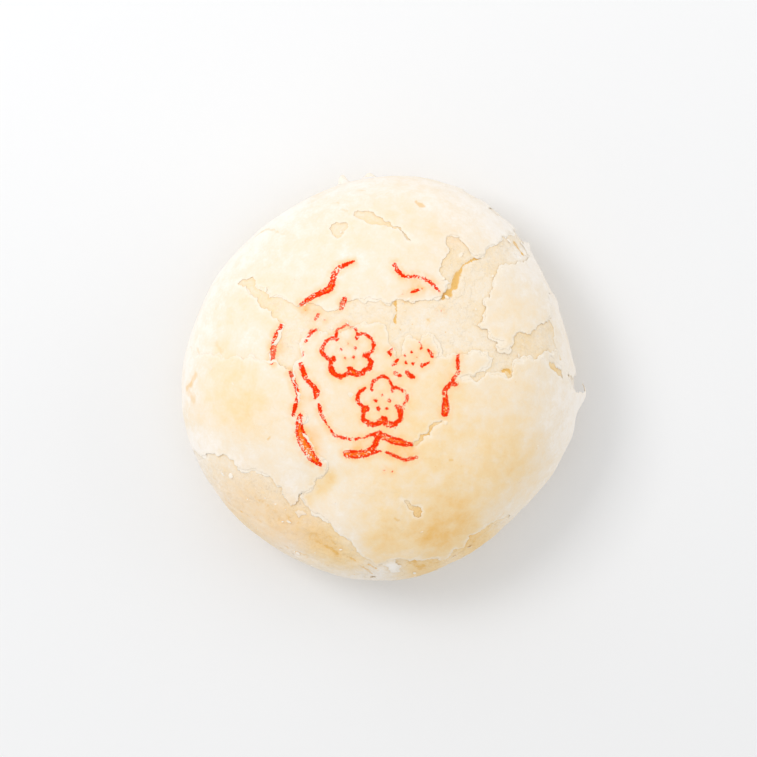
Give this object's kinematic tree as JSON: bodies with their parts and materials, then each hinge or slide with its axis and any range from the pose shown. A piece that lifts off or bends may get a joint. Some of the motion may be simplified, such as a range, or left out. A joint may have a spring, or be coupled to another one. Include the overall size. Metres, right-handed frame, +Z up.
{
  "type": "mung bean puff pastry",
  "caption": "Domed round pastry with a rounded side, a flat base to rest on, a torn flaky outer skin and a red stamped blossom on its pale, lightly browned top.",
  "frame": {"origin": "the middle of the flat base that the pastry rests on, under the centre of its outline", "axes": "+Z up through the crown, +Y across the longest way of the outline, +X across the other way"},
  "size_m": [0.0812, 0.0838, 0.0377],
  "materials": {
    "baked_crust": "matte, pale cream browning to tan in patches"
  },
  "bodies": {
    "root": {"pastry": "baked_crust"}
  },
  "joints": []
}
